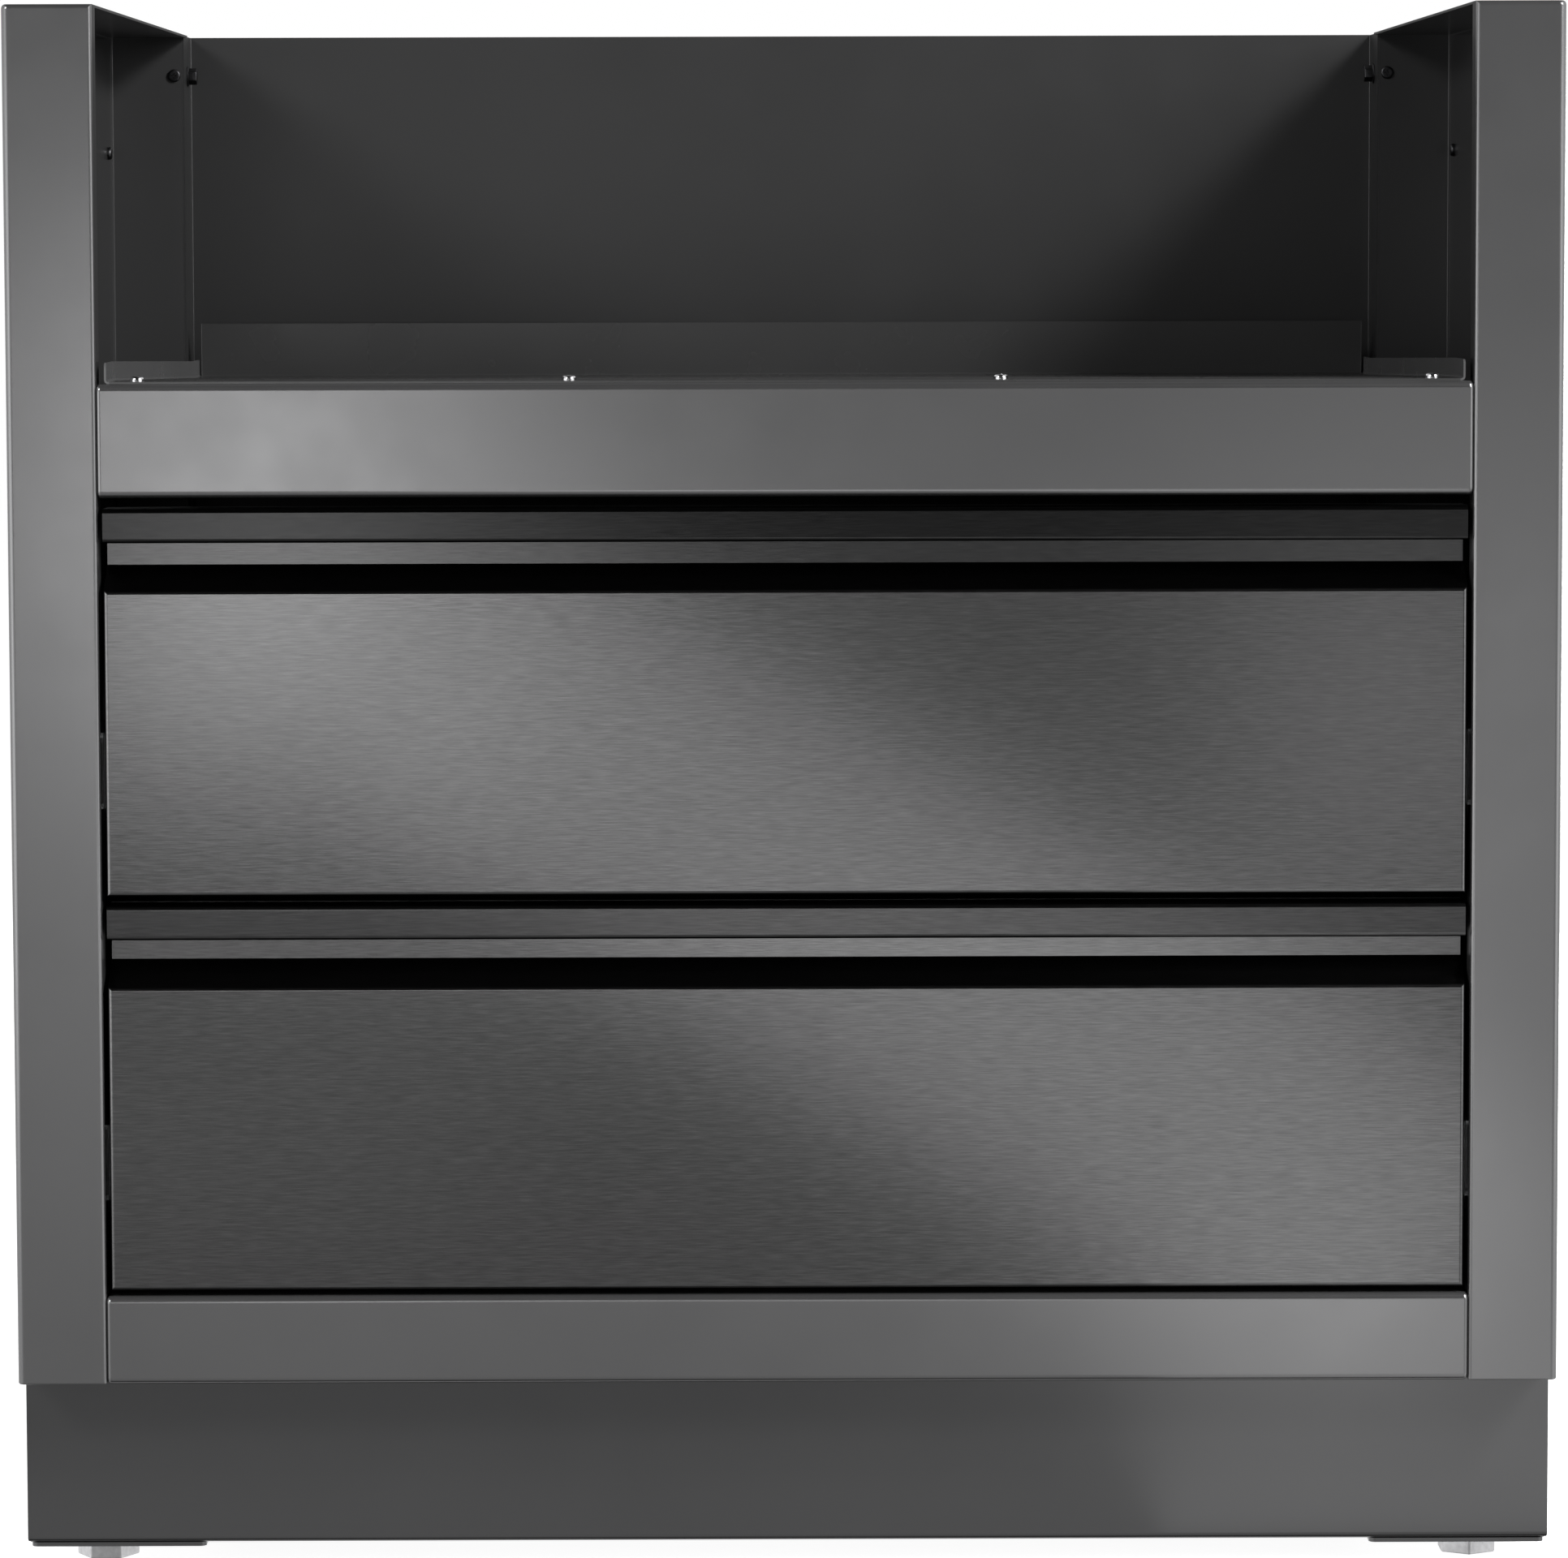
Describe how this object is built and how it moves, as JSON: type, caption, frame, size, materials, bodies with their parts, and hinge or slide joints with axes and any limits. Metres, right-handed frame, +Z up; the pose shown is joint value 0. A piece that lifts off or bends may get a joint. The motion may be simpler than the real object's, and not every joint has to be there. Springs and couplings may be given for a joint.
{
  "type": "grill cabinet",
  "caption": "Outdoor grill cabinet of folded sheet steel with an open bay for a drop-in grill, deep drawers with recessed finger pulls, a toe kick and levelling feet.",
  "frame": {"origin": "on the floor under the middle of the cabinet", "axes": "+Z up, +X to the right seen from the front, front facing -Y"},
  "size_m": [0.914, 0.686, 0.9339],
  "materials": {
    "carcass": "satin charcoal coat",
    "liner": "satin charcoal coat",
    "plated_steel": "zinc plated",
    "drawer_box": "satin grey coat",
    "brushed_front": "dark, brushed along the width",
    "foot": "turned and plated",
    "bright_screw": "plated",
    "dark_bolt": "black oxide"
  },
  "bodies": {
    "cabinet": {"left_side_panel": "carcass", "right_side_panel": "carcass", "upper_front_rail": "carcass", "bottom_front_rail": "carcass", "toe_kick": "carcass", "plinth_left": "carcass", "plinth_right": "carcass", "plinth_rear": "carcass", "back_panel": "liner", "base_panel": "liner", "heat_shield": "liner", "shield_ledge": "liner", "slide_channel_lower_left": "liner", "slide_channel_lower_right": "liner", "slide_channel_upper_left": "liner", "slide_channel_upper_right": "liner", "corner_plate_front_left": "carcass", "corner_plate_front_right": "carcass", "corner_plate_rear_left": "carcass", "corner_plate_rear_right": "carcass", "foot_nuts": "plated_steel", "slide_outer_lower_left": "plated_steel", "slide_outer_lower_right": "plated_steel", "slide_outer_upper_left": "plated_steel", "slide_outer_upper_right": "plated_steel", "shield_screws": "bright_screw", "plinth_screws": "bright_screw", "cabinet_slide_screws": "bright_screw", "back_panel_bolts": "dark_bolt", "back_panel_nuts": "dark_bolt", "rear_flange_screws": "dark_bolt", "side_wall_screws": "dark_bolt"},
    "lower_drawer": {"lower_drawer_inner_front": "drawer_box", "lower_drawer_left_side": "drawer_box", "lower_drawer_right_side": "drawer_box", "lower_drawer_bottom": "drawer_box", "lower_drawer_back": "drawer_box", "lower_drawer_front": "brushed_front", "lower_handle_rail": "brushed_front", "lower_slide_screws": "bright_screw", "slide_inner_lower_left": "plated_steel", "slide_inner_lower_right": "plated_steel"},
    "lower_slide_middle": {"slide_middle_lower_left": "plated_steel", "slide_middle_lower_right": "plated_steel"},
    "upper_drawer": {"upper_drawer_inner_front": "drawer_box", "upper_drawer_left_side": "drawer_box", "upper_drawer_right_side": "drawer_box", "upper_drawer_bottom": "drawer_box", "upper_drawer_back": "drawer_box", "upper_drawer_front": "brushed_front", "upper_handle_rail": "brushed_front", "upper_slide_screws": "bright_screw", "slide_inner_upper_left": "plated_steel", "slide_inner_upper_right": "plated_steel"},
    "upper_slide_middle": {"slide_middle_upper_left": "plated_steel", "slide_middle_upper_right": "plated_steel"},
    "foot_front_left": {"foot_front_left": "foot"},
    "foot_front_right": {"foot_front_right": "foot"},
    "foot_rear_left": {"foot_rear_left": "foot"},
    "foot_rear_right": {"foot_rear_right": "foot"}
  },
  "joints": [
    {"name": "lower_drawer_slide", "type": "slide", "parent": "cabinet", "child": "lower_drawer", "axis": [0, -1, 0], "range_m": [0, 0.5]},
    {"name": "lower_middle_slide", "type": "slide", "parent": "cabinet", "child": "lower_slide_middle", "axis": [0, -1, 0], "range_m": [0, 0.25]},
    {"name": "upper_drawer_slide", "type": "slide", "parent": "cabinet", "child": "upper_drawer", "axis": [0, -1, 0], "range_m": [0, 0.5]},
    {"name": "upper_middle_slide", "type": "slide", "parent": "cabinet", "child": "upper_slide_middle", "axis": [0, -1, 0], "range_m": [0, 0.25]},
    {"name": "foot_front_left_screw", "type": "slide", "parent": "cabinet", "child": "foot_front_left", "axis": [0, 0, -1], "range_m": [0, 0.025]},
    {"name": "foot_front_right_screw", "type": "slide", "parent": "cabinet", "child": "foot_front_right", "axis": [0, 0, -1], "range_m": [0, 0.025]},
    {"name": "foot_rear_left_screw", "type": "slide", "parent": "cabinet", "child": "foot_rear_left", "axis": [0, 0, -1], "range_m": [0, 0.025]},
    {"name": "foot_rear_right_screw", "type": "slide", "parent": "cabinet", "child": "foot_rear_right", "axis": [0, 0, -1], "range_m": [0, 0.025]}
  ],
  "couplings": [
    {"joint": "lower_middle_slide", "follows": "lower_drawer_slide", "ratio": 0.5},
    {"joint": "upper_middle_slide", "follows": "upper_drawer_slide", "ratio": 0.5}
  ]
}
